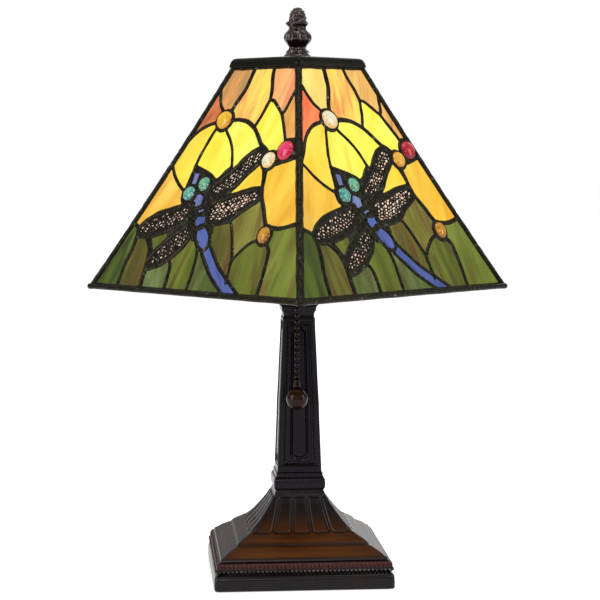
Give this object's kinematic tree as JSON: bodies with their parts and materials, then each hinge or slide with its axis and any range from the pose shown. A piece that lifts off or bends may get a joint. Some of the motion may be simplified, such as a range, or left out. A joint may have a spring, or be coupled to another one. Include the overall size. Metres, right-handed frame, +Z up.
{
  "type": "stained glass table lamp",
  "caption": "Table lamp with a square cast foot and tapering column, a pull-chain socket on a harp, and a four-sided stained glass dragonfly shade with cap and finial.",
  "frame": {"origin": "centre of the underside, on the surface the lamp stands on", "axes": "+Z up through the column; the foot is square to X and Y; the front, where the pull chain hangs, faces -Y"},
  "size_m": [0.2854, 0.2854, 0.3842],
  "materials": {
    "felt": "felt",
    "bronze_dark": "antique bronze patina",
    "bronze_brown": "antique bronze patina, rubbed brown",
    "bronze_green": "dark bronze patina",
    "iron": "rough cast",
    "steel": "plain",
    "brass": "satin",
    "nickel": "plain",
    "black_plastic": "moulded",
    "fibre": "fibre paper",
    "ceramic": "glazed",
    "dark_wood": "polished",
    "bulb_glass": "frosted",
    "art_glass": "streaky opalescent",
    "amber_glass": "pressed, glossy",
    "red_glass": "pressed, glossy",
    "lead": "dark patina on solder"
  },
  "bodies": {
    "stand": {"felt_pad": "felt", "foot_casting": "bronze_brown", "ballast_plate": "iron", "bottom_washer": "steel", "bottom_nut": "brass", "cord_bushing": "black_plastic", "column_collar": "bronze_dark", "column_casting": "bronze_dark", "column_capital": "bronze_dark", "threaded_pipe": "brass", "lock_nut": "brass", "harp_saddle": "brass", "harp_loop": "brass", "harp_stud": "brass", "socket_cap": "brass", "socket_shell": "brass", "insulating_sleeve": "fibre", "socket_interior": "ceramic", "screw_shell": "brass", "centre_contact": "brass", "chain_guide": "brass"},
    "left_sleeve": {"harp_sleeve_left": "brass"},
    "right_sleeve": {"harp_sleeve_right": "brass"},
    "switch_lever": {"switch_lever": "steel"},
    "chain_end": {"chain_end": "brass"},
    "chain_swivel": {"chain_swivel": "brass"},
    "hanging_chain": {"pull_chain": "brass", "chain_coupling": "brass", "pull_ball": "dark_wood"},
    "bulb": {"bulb_glass": "bulb_glass", "bulb_cap": "nickel", "bulb_stem": "bulb_glass"},
    "shade": {"glass_panel_front_left": "art_glass", "glass_panel_front_right": "art_glass", "glass_panel_rear_right": "art_glass", "glass_panel_rear_left": "art_glass", "hip_came_front": "lead", "hip_came_right": "lead", "hip_came_rear": "lead", "hip_came_left": "lead", "bottom_rim": "lead", "top_ring": "lead", "vase_cap": "bronze_green", "jewel_amber_upper_front_left": "amber_glass", "jewel_red_front_left": "red_glass", "jewel_amber_middle_front_left": "amber_glass", "jewel_amber_lower_front_left": "amber_glass", "jewel_amber_upper_front_right": "amber_glass", "jewel_red_front_right": "red_glass", "jewel_amber_middle_front_right": "amber_glass", "jewel_amber_lower_front_right": "amber_glass", "jewel_amber_upper_rear_right": "amber_glass", "jewel_red_rear_right": "red_glass", "jewel_amber_middle_rear_right": "amber_glass", "jewel_amber_lower_rear_right": "amber_glass", "jewel_amber_upper_rear_left": "amber_glass", "jewel_red_rear_left": "red_glass", "jewel_amber_middle_rear_left": "amber_glass", "jewel_amber_lower_rear_left": "amber_glass"},
    "finial": {"finial": "bronze_dark"}
  },
  "joints": [
    {"name": "left_sleeve_slide", "type": "slide", "parent": "stand", "child": "left_sleeve", "axis": [0, 0, 1], "range_m": [0, 0.01]},
    {"name": "right_sleeve_slide", "type": "slide", "parent": "stand", "child": "right_sleeve", "axis": [0, 0, 1], "range_m": [0, 0.01]},
    {"name": "chain_pull", "type": "slide", "parent": "stand", "child": "chain_end", "axis": [0, 0, -1], "range_m": [0, 0.006], "stiffness_N_per_m": 200, "springref_m": -0.01},
    {"name": "switch_lever_turn", "type": "hinge", "parent": "stand", "child": "switch_lever", "pos_m": [-0.0002, -0.00199, 0.216], "axis": [0.9951, -0.0993, 0], "range_deg": [0, 31]},
    {"name": "chain_sway", "type": "hinge", "parent": "chain_end", "child": "chain_swivel", "pos_m": [-0.0028, -0.02806, 0.2078], "axis": [-0.0993, -0.9951, 0], "range_deg": [-35, 35]},
    {"name": "chain_swing", "type": "hinge", "parent": "chain_swivel", "child": "hanging_chain", "pos_m": [-0.0028, -0.02806, 0.2078], "axis": [0.9951, -0.0993, 0], "range_deg": [-45, 4]},
    {"name": "bulb_turn", "type": "hinge", "parent": "stand", "child": "bulb", "pos_m": [0, 0, 0.24], "axis": [0, 0, 1], "range_deg": [0, 1260]},
    {"name": "shade_turn", "type": "hinge", "parent": "stand", "child": "shade", "pos_m": [0, 0, 0.3495], "axis": [0, 0, 1], "continuous": true},
    {"name": "finial_turn", "type": "hinge", "parent": "stand", "child": "finial", "pos_m": [0, 0, 0.355], "axis": [0, 0, 1], "range_deg": [0, 1440]}
  ],
  "couplings": [
    {"joint": "switch_lever_turn", "follows": "chain_pull", "rad_per_m": 87.266}
  ]
}
